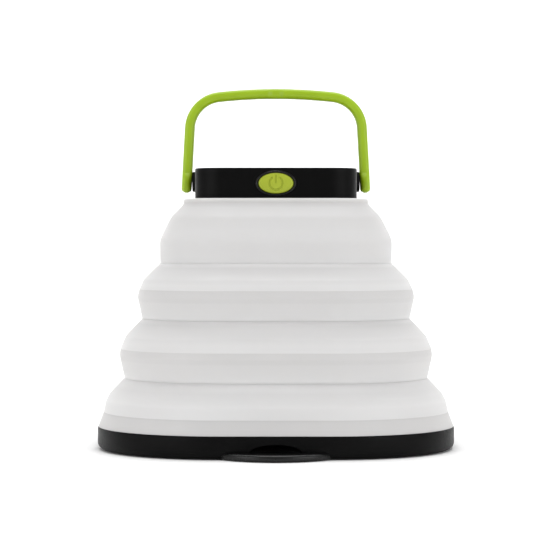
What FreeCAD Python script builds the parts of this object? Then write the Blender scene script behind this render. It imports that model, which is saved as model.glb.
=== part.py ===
"""Collapsible solar camping lantern.

A low black head and a wide black base are joined by a soft, stepped shade that folds down into the base.
The frame has its origin on the lantern's axis at the plane of the feet, +Z up, and the power button at -Y.

Everything that goes round the lantern is a rounded square about the Z axis. All these squares share the
centres of their four corners, so each is a parallel offset of the next, and one half-width gives its size.
"""

import FreeCAD, Part
import math
import os

import Sketcher

SIZES = {
    # the rounded squares share these corner centres, in X and in Y
    "corner_centre": 16.8,
    # how far joined features run into each other, and cuts run past a face
    "overlap": 0.2,
    # base
    "base_half": 56.6,
    "base_bottom": 0.2,
    "base_floor": 1.8,
    "rim_top": 7.2,
    "rim_inner_half": 54.4,
    "rim_bevel": 1.4,
    "ledge_half": 50.6,
    "ledge_top": 6.0,
    "foot_place": 34.0,
    "foot_radius": 5.0,
    "centre_foot_radius": 9.0,
    "foot_sunk": 0.8,
    "tab_top": 2.2,
    "tab_radius": 20.8,
    "tab_reach": 7.5,
    "scoop_half_width": 8.0,
    "scoop_depth": 3.0,
    "scoop_height": 2.5,
    "reflector_half": 50.0,
    "reflector_thickness": 1.0,
    "clamp_inner_half": 50.8,
    "clamp_outer_half": 53.6,
    "clamp_top": 9.4,
    "base_screw_half": 52.1,
    "base_screw_radius": 0.8,
    "base_screw_head_radius": 1.6,
    "base_screw_head": 1.6,
    "base_screw_top": 8.9,
    # shade, from the head down
    "shade_wall": 1.2,
    "collar_half": 29.3,
    "collar_hole_half": 20.5,
    "collar_bottom": 77.2,
    "dome_mid_half": 33.2,
    "dome_mid_level": 73.6,
    "dome_low_half": 35.8,
    "dome_low_level": 68.5,
    "shoulder1_half": 36.9,
    "shoulder1_level": 66.0,
    "valley2_half": 36.8,
    "valley2_level": 58.8,
    "shoulder2_half": 41.9,
    "shoulder2_level": 53.8,
    "crease2_half": 43.4,
    "crease2_level": 50.6,
    "belly2_half": 44.0,
    "belly2_level": 48.3,
    "valley3_half": 42.5,
    "valley3_level": 41.3,
    "shoulder3_half": 47.7,
    "shoulder3_level": 35.8,
    "crease3_half": 49.4,
    "crease3_level": 31.8,
    "belly3_half": 49.7,
    "belly3_level": 29.7,
    "valley4_half": 48.1,
    "valley4_level": 22.5,
    "shoulder4_half": 52.7,
    "shoulder4_level": 17.7,
    "crease4_half": 53.9,
    "crease4_level": 15.5,
    "skirt_top_half": 54.7,
    "skirt_top_level": 11.9,
    "skirt_foot_half": 56.4,
    "skirt_wall": 1.7,
    "flange_top": 7.6,
    "flange_fillet": 0.4,
    # head
    "head_half": 25.7,
    "head_bottom": 79.3,
    "head_top": 88.9,
    "head_edge": 0.4,
    "head_wall": 1.6,
    "head_plate": 2.0,
    "panel_half": 21.6,
    "panel_corner": 3.0,
    "panel_gap": 0.2,
    "panel_recess": 1.0,
    "panel_thickness": 0.5,
    "glazing_thickness": 0.4,
    "post_place": 18.0,
    "post_radius": 2.5,
    "head_screw_radius": 0.8,
    "head_screw_head_radius": 1.9,
    "head_screw_head": 1.2,
    "head_screw_top": 84.0,
    "screw_clearance": 0.15,
    "cover_half": 26.6,
    "cover_thickness": 1.6,
    "spigot_half": 20.3,
    "standoff_place": 10.0,
    "standoff_radius": 1.5,
    "wire_hole_radius": 2.2,
    # electronics
    "board_bottom": 81.0,
    "board_thickness": 1.0,
    "board_long": 23.2,
    "board_short": 13.6,
    "cell_length": 30.0,
    "cell_width": 22.0,
    "cell_front": -9.0,
    "cell_bottom": 82.7,
    "cell_top": 86.1,
    "switch_width": 6.0,
    "switch_front": -21.5,
    "switch_depth": 3.6,
    "switch_height": 3.5,
    "actuator_radius": 1.1,
    "actuator_tip": -22.0,
    "light_board_radius": 14.0,
    "light_board_thickness": 1.0,
    "chip_ring": 9.0,
    "chip_width": 3.0,
    "chip_thickness": 0.7,
    "lens_radius": 16.5,
    "lens_wall": 1.1,
    "lens_drop": 4.0,
    "lens_edge": 3.0,
    "lens_edge_rise": 2.0,
    "lead_radius": 0.55,
    "lead_place": 1.0,
    # power button
    "button_width": 11.0,
    "button_height": 6.5,
    "button_level": 84.0,
    "button_gap": 0.2,
    "button_front": -26.1,
    "button_back": -24.2,
    "button_lip_width": 12.8,
    "button_lip_height": 7.9,
    "button_lip": 0.3,
    "button_well": 2.7,
    "button_flange_width": 13.4,
    "button_flange_height": 3.4,
    "button_flange_level": 84.1,
    "button_flange_back": -23.1,
    "button_flange_thickness": 0.6,
    "button_stem_width": 7.0,
    # charging port
    "port_level": 83.6,
    "port_width": 9.2,
    "port_height": 3.6,
    "socket_width": 8.8,
    "socket_height": 3.2,
    "socket_back": 24.1,
    "socket_depth": 7.2,
    "socket_wall": 0.35,
    "socket_back_wall": 1.0,
    "tongue_width": 6.0,
    "tongue_thickness": 0.7,
    "tongue_length": 5.4,
    "flap_width": 13.0,
    "flap_height": 5.6,
    "flap_sunk": 0.8,
    "flap_proud": 0.2,
    "flap_gap": 0.3,
    "flap_hinge": 6.3,
    "flap_hinge_gap": 0.8,
    "flap_bead": 0.45,
    "plug_width": 7.4,
    "plug_height": 2.4,
    "plug_depth": 0.7,
    "light_pipe_place": 10.6,
    "light_pipe_radius": 1.0,
    "light_pipe_length": 4.5,
    # handle and its pivots
    "pivot_level": 85.0,
    "pivot_radius": 1.5,
    "pivot_play": 0.05,
    "pivot_end": 29.4,
    "pivot_boss_radius": 3.3,
    "pivot_boss_end": 26.9,
    "pivot_inside": 1.0,
    "handle_leg": 28.95,
    "handle_thickness": 3.3,
    "handle_depth": 4.6,
    "handle_top": 113.55,
    "handle_bend": 10.6,
    "handle_knee": 27.97,
    "handle_knee_level": 102.6,
    "handle_eye_radius": 3.6,
    "handle_bore_end": 29.7,
}

doc = FreeCAD.newDocument("lantern")
sheet = doc.addObject("Spreadsheet::Sheet", "Sizes")
for row, (word, value) in enumerate(SIZES.items(), start=1):
    sheet.set(f"A{row}", word)
    sheet.set(f"B{row}", str(value))
    sheet.setAlias(f"B{row}", word)
doc.recompute()

subparts = []


def size(text):
    """An expression in which each word of the sheet stands for its cell."""
    words = " ".join(f"Sizes.{word}" if word in SIZES else word for word in text.split())
    return words.replace("sqrt (", "sqrt(")


def subpart(kind, label):
    made = doc.addObject(kind, label)
    made.Label = label
    subparts.append(made)
    return made


def new_body(label):
    return subpart("PartDesign::Body", label)


def origin_feature(body, role):
    return next(f for f in body.Origin.OriginFeatures if f.Role == role)


# ---------------------------------------------------------------- sketches


def new_sketch(body, name, role, shift):
    """A sketch on one of the body's own planes, moved along that plane's normal."""
    sketch = body.newObject("Sketcher::SketchObject", name)
    sketch.AttachmentSupport = (origin_feature(body, role), [""])
    sketch.MapMode = "FlatFace"
    sketch.setExpression("AttachmentOffset.Base.z", size(shift))
    return sketch


def level_sketch(body, name, level):
    """Looks down on the plane z = level: right is +X and up is +Y."""
    return new_sketch(body, name, "XY_Plane", level)


def front_sketch(body, name, depth):
    """Stands in the plane y = depth: right is +X and up is +Z, and its normal is -Y."""
    return new_sketch(body, name, "XZ_Plane", f"0 - ( {depth} )")


def side_sketch(body, name, reach):
    """Stands in the plane x = reach: right is +Y and up is +Z."""
    return new_sketch(body, name, "YZ_Plane", reach)


def worked_out(sketch, text):
    return float(sketch.evalExpression(size(text)))


def bind(sketch, constraint, text):
    """Adds a dimension and binds it to an expression of the sheet's words."""
    index = sketch.addConstraint(constraint)
    sketch.setExpression(f"Constraints[{index}]", size(text))


def hold(sketch, kind, element, end, text):
    """Holds one point of the sketch at a DistanceX or DistanceY from the sketch's origin."""
    value = worked_out(sketch, text)
    bind(sketch, Sketcher.Constraint(kind, -1, 1, element, end, value), text)


def pin(sketch, element, end, across, up):
    hold(sketch, "DistanceX", element, end, across)
    hold(sketch, "DistanceY", element, end, up)


def at(sketch, across, up):
    return FreeCAD.Vector(worked_out(sketch, across), worked_out(sketch, up), 0)


def polygon(sketch, corners):
    """A closed outline of straight lines through corners, each a pair of expressions."""
    first = sketch.GeometryCount
    spots = [at(sketch, *corner) for corner in corners]
    for start, end in zip(spots, spots[1:] + spots[:1]):
        sketch.addGeometry(Part.LineSegment(start, end), False)
    last = sketch.GeometryCount
    for line in range(first, last):
        following = line + 1 if line + 1 < last else first
        sketch.addConstraint(Sketcher.Constraint("Coincident", line, 2, following, 1))
    for line, corner in zip(range(first, last), corners):
        pin(sketch, line, 1, *corner)


def rectangle(sketch, left, right, low, high):
    polygon(sketch, [(left, low), (right, low), (right, high), (left, high)])


def turned(across, up, quarters):
    """A pair of expressions, turned about the sketch's origin by quarter turns."""
    for _ in range(quarters):
        across, up = f"0 - ( {up} )", across
    return across, up


def rounded_square(sketch, half, radius=None):
    """A square about the sketch's origin, with rounded corners."""
    flat = "corner_centre" if radius is None else f"{half} - {radius}"
    around = [turned(half, f"0 - ( {flat} )", quarters) for quarters in range(4)]
    for quarters, start in enumerate(around):
        end = turned(half, flat, quarters)
        centre = turned(flat, flat, quarters)
        side = sketch.addGeometry(Part.LineSegment(at(sketch, *start), at(sketch, *end)), False)
        radius_now = worked_out(sketch, f"{half} - ( {flat} )")
        whole = Part.Circle(at(sketch, *centre), FreeCAD.Vector(0, 0, 1), radius_now)
        quarter = math.pi / 2
        bend = Part.ArcOfCircle(whole, quarters * quarter, (quarters + 1) * quarter)
        corner = sketch.addGeometry(bend, False)
        pin(sketch, side, 1, *start)
        pin(sketch, side, 2, *end)
        sketch.addConstraint(Sketcher.Constraint("Coincident", side, 2, corner, 1))
        hold(sketch, "DistanceX", corner, 3, centre[0])
    for corner in (1, 3, 5, 7):
        sketch.addConstraint(Sketcher.Constraint("Coincident", corner, 2, (corner + 1) % 8, 1))


def circle(sketch, across, up, radius):
    shape = Part.Circle(at(sketch, across, up), FreeCAD.Vector(0, 0, 1), worked_out(sketch, radius))
    index = sketch.addGeometry(shape, False)
    pin(sketch, index, 3, across, up)
    bind(sketch, Sketcher.Constraint("Radius", index, worked_out(sketch, radius)), radius)


def ellipse(sketch, up, width, height):
    """An ellipse centred at x = 0, with its long axis level."""
    middle = at(sketch, "0", up)
    long_end = middle + FreeCAD.Vector(worked_out(sketch, width) / 2, 0, 0)
    short_end = middle + FreeCAD.Vector(0, worked_out(sketch, height) / 2, 0)
    index = sketch.addGeometry(Part.Ellipse(long_end, short_end, middle), False)
    sketch.exposeInternalGeometry(index)
    pin(sketch, index, 3, "0", up)
    long_axis = index + 1
    short_axis = index + 2
    sketch.addConstraint(Sketcher.Constraint("Horizontal", long_axis))
    for axis, text in ((long_axis, width), (short_axis, height)):
        span = Sketcher.Constraint("Distance", axis, 1, axis, 2, worked_out(sketch, text))
        bind(sketch, span, text)


def axis_line(sketch, across):
    """An upright construction line, which a revolution can turn about as Axis0."""
    low = at(sketch, across, "0")
    index = sketch.addGeometry(Part.LineSegment(low, low + FreeCAD.Vector(0, 10, 0)), True)
    pin(sketch, index, 1, across, "0")
    sketch.addConstraint(Sketcher.Constraint("Vertical", index))
    sketch.addConstraint(Sketcher.Constraint("DistanceY", index, 1, index, 2, 10.0))


# ---------------------------------------------------------------- features


def feature(body, kind, name, sketch, reverse):
    made = body.newObject(f"PartDesign::{kind}", name)
    made.Profile = sketch
    made.Reversed = reverse
    return made


def pad(body, name, sketch, length, reverse=False):
    made = feature(body, "Pad", name, sketch, reverse)
    made.setExpression("Length", size(length))
    doc.recompute()
    return made


def pocket(body, name, sketch, length, reverse=False):
    before = body.Shape.Volume
    made = feature(body, "Pocket", name, sketch, reverse)
    made.setExpression("Length", size(length))
    doc.recompute()
    assert body.Shape.Volume < before - 0.1, f"{name} cuts nothing"
    return made


def revolve(body, name, sketch, angle=360.0):
    made = feature(body, "Revolution", name, sketch, False)
    made.ReferenceAxis = (sketch, ["Axis0"])
    made.Angle = angle
    doc.recompute()
    return made


def four_times(body, name, originals):
    """Repeats features at the four sides, or the four corners, about the Z axis."""
    made = body.newObject("PartDesign::PolarPattern", name)
    made.Originals = originals
    made.Axis = (origin_feature(body, "Z_Axis"), [""])
    made.Angle = 360
    made.Occurrences = 4
    body.Tip = made
    doc.recompute()
    return made


def rounded_ring(body, name, corners):
    """Carries a section, drawn at +X as (half-width, level) pairs, once round the lantern."""
    sketch = front_sketch(body, f"{name}Section", "corner_centre")
    polygon(sketch, corners)
    axis_line(sketch, "corner_centre")
    side = pad(body, f"{name}Side", sketch, "2 * corner_centre")
    corner = revolve(body, f"{name}Corner", sketch, 90.0)
    return four_times(body, f"{name}Round", [side, corner])


def rounded_plate(body, name, half, low, high, radius=None):
    """A flat plate with upright sides. Its corners are the lantern's own unless a radius is given."""
    sketch = level_sketch(body, f"{name}Outline", low)
    rounded_square(sketch, half, radius)
    return pad(body, name, sketch, f"( {high} ) - ( {low} )")


def wall_section(outer):
    """The section of a soft wall: its outer line, and the same line one wall thickness further in."""
    return outer + [(f"{half} - shade_wall", level) for half, level in reversed(outer)]


def block(label, low_corner, lengths):
    made = subpart("Part::Box", label)
    for side, length in zip(("Length", "Width", "Height"), lengths):
        made.setExpression(side, size(length))
    for axis, place in zip("xyz", low_corner):
        made.setExpression(f"Placement.Base.{axis}", size(place))
    return made


# ---------------------------------------------------------------- base


def make_base_tray():
    """A shallow tray with a thick rim, a pull tab at the front, and a finger scoop above the tab."""
    body = new_body("base_tray")
    rounded_plate(body, "Floor", "ledge_half + overlap", "base_bottom", "base_floor")
    rim = [
        ("ledge_half", "base_bottom"),
        ("base_half - rim_bevel", "base_bottom"),
        ("base_half", "base_bottom + rim_bevel"),
        ("base_half", "rim_top"),
        ("rim_inner_half", "rim_top"),
        ("rim_inner_half", "ledge_top"),
        ("ledge_half", "ledge_top"),
    ]
    rounded_ring(body, "Rim", rim)
    scoop = body.newObject("PartDesign::SubtractiveEllipsoid", "Scoop")
    scoop.setExpression("Radius1", size("scoop_height"))
    scoop.setExpression("Radius2", size("scoop_half_width"))
    scoop.setExpression("Radius3", size("scoop_depth"))
    scoop.setExpression("AttachmentOffset.Base.y", size("0 - base_half"))
    scoop.setExpression("AttachmentOffset.Base.z", size("tab_top"))
    scoop.AttachmentSupport = (origin_feature(body, "XY_Plane"), [""])
    scoop.MapMode = "FlatFace"
    doc.recompute()
    make_tab(body)
    make_base_holes(body)


def make_tab(body):
    """The tab is the part of a disc that stands out beyond the rim, and fills the scoop's lower half."""
    sketch = level_sketch(body, "TabOutline", "base_bottom")
    centre = "tab_radius - tab_reach - base_half"
    root = "scoop_depth - base_half"
    half_chord = f"sqrt ( tab_radius ^ 2 - ( ( {root} ) - ( {centre} ) ) ^ 2 )"
    left = at(sketch, f"0 - {half_chord}", root)
    right = at(sketch, half_chord, root)
    tip = at(sketch, "0", "0 - base_half - tab_reach")
    sketch.addGeometry(Part.LineSegment(right, left), False)
    sketch.addGeometry(Part.Arc(left, tip, right), False)
    sketch.addConstraint(Sketcher.Constraint("Coincident", 0, 2, 1, 1))
    sketch.addConstraint(Sketcher.Constraint("Coincident", 0, 1, 1, 2))
    pin(sketch, 1, 3, "0", centre)
    hold(sketch, "DistanceY", 0, 1, root)
    sketch.addConstraint(Sketcher.Constraint("Horizontal", 0))
    bind(sketch, Sketcher.Constraint("Radius", 1, worked_out(sketch, "tab_radius")), "tab_radius")
    pad(body, "Tab", sketch, "tab_top - base_bottom")


def screw_places(half):
    """The middle of one side, and one corner: the pattern repeats both at each quarter turn."""
    diagonal = f"corner_centre + ( {half} - corner_centre ) * sqrt ( 0.5 )"
    return [(half, "0"), (diagonal, diagonal)]


def make_base_holes(body):
    feet = level_sketch(body, "FootPlace", "base_bottom")
    circle(feet, "foot_place", "foot_place", "foot_radius")
    four_times(body, "FootRecesses", [pocket(body, "FootRecess", feet, "foot_sunk", True)])
    middle = level_sketch(body, "CentreFootPlace", "base_bottom")
    circle(middle, "0", "0", "centre_foot_radius")
    pocket(body, "CentreFootRecess", middle, "foot_sunk", True)
    heads = level_sketch(body, "ScrewHeadPlaces", "base_bottom")
    for place in screw_places("base_screw_half"):
        circle(heads, *place, "base_screw_head_radius")
    four_times(body, "HeadSinks", [pocket(body, "HeadSink", heads, "base_screw_head", True)])
    shanks = level_sketch(body, "ScrewPlaces", "base_bottom")
    for place in screw_places("base_screw_half"):
        circle(shanks, *place, "base_screw_radius")
    four_times(body, "ScrewHoles", [pocket(body, "ScrewHole", shanks, "rim_top", True)])


def make_foot_pads():
    body = new_body("foot_pads")
    sketch = level_sketch(body, "Outline", "0")
    circle(sketch, "foot_place", "foot_place", "foot_radius")
    four_times(body, "Pads", [pad(body, "Foot", sketch, "base_bottom + foot_sunk")])
    middle = level_sketch(body, "CentreOutline", "0")
    circle(middle, "0", "0", "centre_foot_radius")
    pad(body, "CentreFoot", middle, "base_bottom + foot_sunk")


def make_reflector():
    body = new_body("reflector_plate")
    rounded_plate(body, "Sheet", "reflector_half", "base_floor", "base_floor + reflector_thickness")


def make_clamp_ring():
    """Presses the shade's flange onto the tray's ledge."""
    body = new_body("clamp_ring")
    ring = [
        ("clamp_inner_half", "flange_top"),
        ("clamp_outer_half", "flange_top"),
        ("clamp_outer_half", "clamp_top"),
        ("clamp_inner_half", "clamp_top"),
    ]
    rounded_ring(body, "Ring", ring)
    shanks = level_sketch(body, "ScrewPlaces", "flange_top")
    for place in screw_places("base_screw_half"):
        circle(shanks, *place, "base_screw_radius")
    depth = "base_screw_top - flange_top"
    four_times(body, "ScrewHoles", [pocket(body, "ScrewHole", shanks, depth, True)])


def make_base_screws():
    """Screws from below, up through the tray and the flange into the clamp ring."""
    body = new_body("base_screws")
    heads = level_sketch(body, "HeadOutlines", "base_bottom")
    shanks = level_sketch(body, "ShankOutlines", "base_bottom + base_screw_head")
    for place in screw_places("base_screw_half"):
        circle(heads, *place, "base_screw_head_radius")
        circle(shanks, *place, "base_screw_radius")
    head = pad(body, "Head", heads, "base_screw_head")
    shank = pad(body, "Shank", shanks, "base_screw_top - base_bottom - base_screw_head")
    four_times(body, "Screws", [head, shank])


# ---------------------------------------------------------------- shade


def make_shade():
    """One soft moulding, divided at its folds: firm bands, and the sloping webs that fold between them."""
    collar = new_body("shade_collar")
    collar_section = [
        ("collar_half", "head_bottom"),
        ("collar_half", "collar_bottom"),
        ("collar_half - shade_wall", "collar_bottom"),
        ("collar_half - shade_wall", "head_bottom - shade_wall"),
        ("collar_hole_half", "head_bottom - shade_wall"),
        ("collar_hole_half", "head_bottom"),
    ]
    rounded_ring(collar, "Collar", collar_section)
    dome = [
        ("collar_half", "collar_bottom"),
        ("dome_mid_half", "dome_mid_level"),
        ("dome_low_half", "dome_low_level"),
        ("shoulder1_half", "shoulder1_level"),
    ]
    rounded_ring(new_body("shade_fold_1"), "Web", wall_section(dome))
    band = [("shoulder1_half", "shoulder1_level"), ("valley2_half", "valley2_level")]
    rounded_ring(new_body("shade_tier_1"), "Band", wall_section(band))
    for tier in (2, 3, 4):
        web = [
            (f"valley{tier}_half", f"valley{tier}_level"),
            (f"shoulder{tier}_half", f"shoulder{tier}_level"),
        ]
        rounded_ring(new_body(f"shade_fold_{tier}"), "Web", wall_section(web))
    for tier in (2, 3):
        band = [
            (f"shoulder{tier}_half", f"shoulder{tier}_level"),
            (f"crease{tier}_half", f"crease{tier}_level"),
            (f"belly{tier}_half", f"belly{tier}_level"),
            (f"valley{tier + 1}_half", f"valley{tier + 1}_level"),
        ]
        rounded_ring(new_body(f"shade_tier_{tier}"), "Band", wall_section(band))
    make_lowest_tier()


def make_lowest_tier():
    """The lowest band, the skirt under it that stands on the rim, and the flange that is clamped."""
    body = new_body("shade_tier_4")
    section = [
        ("shoulder4_half", "shoulder4_level"),
        ("crease4_half", "crease4_level"),
        ("skirt_top_half", "skirt_top_level"),
        ("skirt_foot_half", "rim_top"),
        ("rim_inner_half", "rim_top"),
        ("rim_inner_half", "ledge_top"),
        ("ledge_half", "ledge_top"),
        ("ledge_half", "flange_top"),
        ("rim_inner_half - flange_fillet", "flange_top"),
        ("skirt_foot_half - skirt_wall", "flange_top + skirt_wall / 2"),
        ("skirt_top_half - shade_wall", "skirt_top_level"),
        ("crease4_half - shade_wall", "crease4_level"),
        ("shoulder4_half - shade_wall", "shoulder4_level"),
    ]
    rounded_ring(body, "Skirt", section)
    shanks = level_sketch(body, "ScrewPlaces", "ledge_top")
    for place in screw_places("base_screw_half"):
        circle(shanks, *place, "base_screw_radius")
    depth = "flange_top - ledge_top"
    four_times(body, "ScrewHoles", [pocket(body, "ScrewHole", shanks, depth, True)])


# ---------------------------------------------------------------- head


def make_top_housing():
    """The head's shell, open below, with a recess for the solar panel in its top."""
    body = new_body("top_housing")
    under = "head_top - head_plate"
    rounded_plate(body, "TopPlate", "head_half", under, "head_top")
    wall = [
        ("head_half", "head_bottom"),
        ("head_half", f"{under} + overlap"),
        ("head_half - head_wall", f"{under} + overlap"),
        ("head_half - head_wall", "head_bottom"),
    ]
    rounded_ring(body, "Wall", wall)
    chamfer_top_edge(body)
    recess = level_sketch(body, "RecessOutline", "head_top")
    rounded_square(recess, "panel_half + panel_gap", "( panel_corner + panel_gap )")
    pocket(body, "PanelRecess", recess, "panel_recess")
    posts = level_sketch(body, "PostOutline", "head_bottom")
    circle(posts, "post_place", "post_place", "post_radius")
    post = pad(body, "Post", posts, "head_top - head_plate - head_bottom + overlap")
    four_times(body, "Posts", [post])
    holes = level_sketch(body, "PostHole", "head_bottom")
    circle(holes, "post_place", "post_place", "head_screw_radius")
    depth = "head_screw_top - head_bottom"
    four_times(body, "PostHoles", [pocket(body, "PostBore", holes, depth, True)])
    make_button_well(body)
    make_port(body)
    make_pivot_holes(body)


def chamfer_top_edge(body):
    """Breaks the sharp edge round the top of the shell."""
    top = SIZES["head_top"]
    shell = body.Tip
    edges = []
    for number, edge in enumerate(shell.Shape.Edges, start=1):
        if all(abs(vertex.Z - top) < 1e-6 for vertex in edge.Vertexes):
            edges.append(f"Edge{number}")
    made = body.newObject("PartDesign::Chamfer", "TopEdge")
    made.Base = (shell, edges)
    made.setExpression("Size", size("head_edge"))
    doc.recompute()


def make_button_well(body):
    """An oval well through the front wall, with a thin raised lip round it."""
    lip = front_sketch(body, "LipOutline", "0 - head_half + overlap")
    ellipse(lip, "button_level", "button_lip_width", "button_lip_height")
    pad(body, "Lip", lip, "button_lip + overlap")
    well = front_sketch(body, "WellOutline", "0 - head_half - button_lip")
    width = "button_width + 2 * button_gap"
    height = "button_height + 2 * button_gap"
    ellipse(well, "button_level", width, height)
    pocket(body, "Well", well, "button_lip + button_well")


def make_port(body):
    """A shallow seat for the rubber flap in the back wall, the opening behind it, and a hole beside it."""
    seat = front_sketch(body, "FlapSeatOutline", "head_half")
    half = "flap_width / 2 + flap_gap"
    tall = "flap_height / 2 + flap_gap"
    right = "flap_hinge + flap_hinge_gap"
    rectangle(seat, f"0 - ( {half} )", right, f"port_level - ( {tall} )", f"port_level + {tall}")
    pocket(body, "FlapSeat", seat, "flap_sunk", True)
    mouth = front_sketch(body, "PortOutline", "head_half")
    half = "port_width / 2"
    tall = "port_height / 2"
    rectangle(mouth, f"0 - {half}", half, f"port_level - {tall}", f"port_level + {tall}")
    pocket(body, "Port", mouth, "head_wall + overlap", True)
    pipe = front_sketch(body, "LightPipePlace", "head_half")
    circle(pipe, "light_pipe_place", "port_level", "light_pipe_radius")
    pocket(body, "LightPipeHole", pipe, "head_wall + overlap", True)


def make_pivot_holes(body):
    hole = side_sketch(body, "PivotPlace", "head_half")
    circle(hole, "0", "pivot_level", "pivot_radius")
    right = pocket(body, "PivotHole", hole, "head_wall + overlap")
    mirror = body.newObject("PartDesign::Mirrored", "PivotHoles")
    mirror.Originals = [right]
    mirror.MirrorPlane = (origin_feature(body, "YZ_Plane"), [""])
    body.Tip = mirror
    doc.recompute()


def make_lower_cover():
    """Closes the head from below and clamps the shade's collar against the housing."""
    body = new_body("lower_cover")
    top = "head_bottom - shade_wall"
    rounded_plate(body, "Plate", "cover_half", f"{top} - cover_thickness", top)
    rounded_plate(body, "Spigot", "spigot_half", top, "head_bottom")
    stand = level_sketch(body, "StandoffOutline", "head_bottom")
    circle(stand, "standoff_place", "standoff_place", "standoff_radius")
    four_times(body, "Standoffs", [pad(body, "Standoff", stand, "board_bottom - head_bottom")])
    holes = level_sketch(body, "HoleOutlines", f"{top} - cover_thickness")
    circle(holes, "post_place", "post_place", "head_screw_radius + screw_clearance")
    through = "cover_thickness + shade_wall"
    four_times(body, "ScrewHoles", [pocket(body, "ScrewHole", holes, through, True)])
    wires = level_sketch(body, "WireHoleOutline", f"{top} - cover_thickness")
    circle(wires, "0", "0", "wire_hole_radius")
    pocket(body, "WireHole", wires, through, True)


def make_head_screws():
    body = new_body("head_screws")
    seat = "head_bottom - shade_wall - cover_thickness"
    heads = level_sketch(body, "HeadOutline", f"{seat} - head_screw_head")
    circle(heads, "post_place", "post_place", "head_screw_head_radius")
    head = pad(body, "Head", heads, "head_screw_head")
    shanks = level_sketch(body, "ShankOutline", seat)
    circle(shanks, "post_place", "post_place", "head_screw_radius")
    shank = pad(body, "Shank", shanks, f"head_screw_top - ( {seat} )")
    four_times(body, "Screws", [head, shank])


def make_panel():
    """The solar cells at the bottom of the recess, and the clear layer over them."""
    floor = "head_top - panel_recess"
    cells = new_body("solar_panel")
    top = f"{floor} + panel_thickness"
    rounded_plate(cells, "Cells", "panel_half", floor, top, "panel_corner")
    glazing = new_body("panel_glazing")
    rounded_plate(glazing, "Glazing", "panel_half", top, f"{top} + glazing_thickness", "panel_corner")


def make_electronics():
    """The main board, its cell, switch and socket, and the board of lights under the cover."""
    body = new_body("circuit_board")
    outline = level_sketch(body, "BoardOutline", "board_bottom")
    turns = [(1, 1), (-1, 1), (-1, -1), (1, -1)]
    corners = []
    for across, up in turns:
        arm = (f"{across} * board_long", f"{up} * board_short")
        notch = (f"{across} * board_short", f"{up} * board_short")
        leg = (f"{across} * board_short", f"{up} * board_long")
        corners += [arm, notch, leg] if across * up > 0 else [leg, notch, arm]
    polygon(outline, corners)
    pad(body, "Board", outline, "board_thickness")
    back = "0 - cell_length / 2"
    lengths = ("cell_length", "cell_width", "cell_top - cell_bottom")
    block("battery_cell", (back, "cell_front", "cell_bottom"), lengths)
    lengths = ("cell_length", "cell_width", "head_top - head_plate - cell_top")
    block("battery_pad", (back, "cell_front", "cell_top"), lengths)
    make_tact_switch()
    make_usb_socket()
    make_light_board()


def make_tact_switch():
    body = new_body("tact_switch")
    case = level_sketch(body, "CaseOutline", "board_bottom + board_thickness")
    half = "switch_width / 2"
    rectangle(case, f"0 - {half}", half, "switch_front", "switch_front + switch_depth")
    pad(body, "Case", case, "switch_height")
    actuator = front_sketch(body, "ActuatorOutline", "switch_front + overlap")
    circle(actuator, "0", "button_flange_level", "actuator_radius")
    pad(body, "Actuator", actuator, "switch_front + overlap - actuator_tip")


def make_usb_socket():
    """A pressed steel shell, open to the back, with a tongue inside."""
    body = new_body("usb_socket")
    face = front_sketch(body, "ShellOutline", "socket_back")
    half = "socket_width / 2"
    low = "board_bottom + board_thickness"
    rectangle(face, f"0 - {half}", half, low, f"{low} + socket_height")
    pad(body, "Shell", face, "socket_depth")
    hollow = front_sketch(body, "HollowOutline", "socket_back")
    half = "socket_width / 2 - socket_wall"
    rectangle(
        hollow, f"0 - ( {half} )", half, f"{low} + socket_wall", f"{low} + socket_height - socket_wall"
    )
    pocket(body, "Hollow", hollow, "socket_depth - socket_back_wall", True)
    tongue = front_sketch(body, "TongueOutline", "socket_back - socket_depth + socket_back_wall - overlap")
    middle = f"{low} + socket_height / 2"
    half = "tongue_width / 2"
    low = f"{middle} - tongue_thickness / 2"
    rectangle(tongue, f"0 - {half}", half, low, f"{low} + tongue_thickness")
    pad(body, "Tongue", tongue, "tongue_length", True)


def make_light_board():
    seat = "head_bottom - shade_wall - cover_thickness"
    board = new_body("light_board")
    outline = level_sketch(board, "BoardOutline", f"{seat} - light_board_thickness")
    circle(outline, "0", "0", "light_board_radius")
    pad(board, "Board", outline, "light_board_thickness")
    chips = new_body("light_chips")
    low = f"{seat} - light_board_thickness - chip_thickness"
    outline = level_sketch(chips, "ChipOutlines", low)
    half = "chip_width / 2"
    rectangle(outline, f"chip_ring - {half}", f"chip_ring + {half}", f"0 - {half}", half)
    diagonal = "chip_ring * sqrt ( 0.5 )"
    square = (f"{diagonal} - {half}", f"{diagonal} + {half}")
    rectangle(outline, *square, *square)
    four_times(chips, "Chips", [pad(chips, "Chip", outline, "chip_thickness")])
    lens = new_body("light_diffuser")
    dish = front_sketch(lens, "DishSection", "0")
    low = f"{seat} - lens_drop"
    inner = "lens_radius - lens_wall"
    section = [
        ("0", low),
        ("lens_radius - lens_edge", low),
        ("lens_radius", f"{low} + lens_edge_rise"),
        ("lens_radius", seat),
        (inner, seat),
        (inner, f"{low} + lens_edge_rise + lens_wall / 2"),
        ("lens_radius - lens_edge", f"{low} + lens_wall"),
        ("0", f"{low} + lens_wall"),
    ]
    polygon(dish, section)
    axis_line(dish, "0")
    revolve(lens, "Dish", dish)
    leads = new_body("light_leads")
    outline = level_sketch(leads, "LeadOutlines", seat)
    for side in ("lead_place", "0 - lead_place"):
        circle(outline, side, "0", "lead_radius")
    pad(leads, "Leads", outline, f"board_bottom - ( {seat} )")
    pipe = new_body("charge_light_pipe")
    face = front_sketch(pipe, "PipeOutline", "head_half")
    circle(face, "light_pipe_place", "port_level", "light_pipe_radius")
    pad(pipe, "Pipe", face, "light_pipe_length")


# ---------------------------------------------------------------- moving pieces of the head


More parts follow.
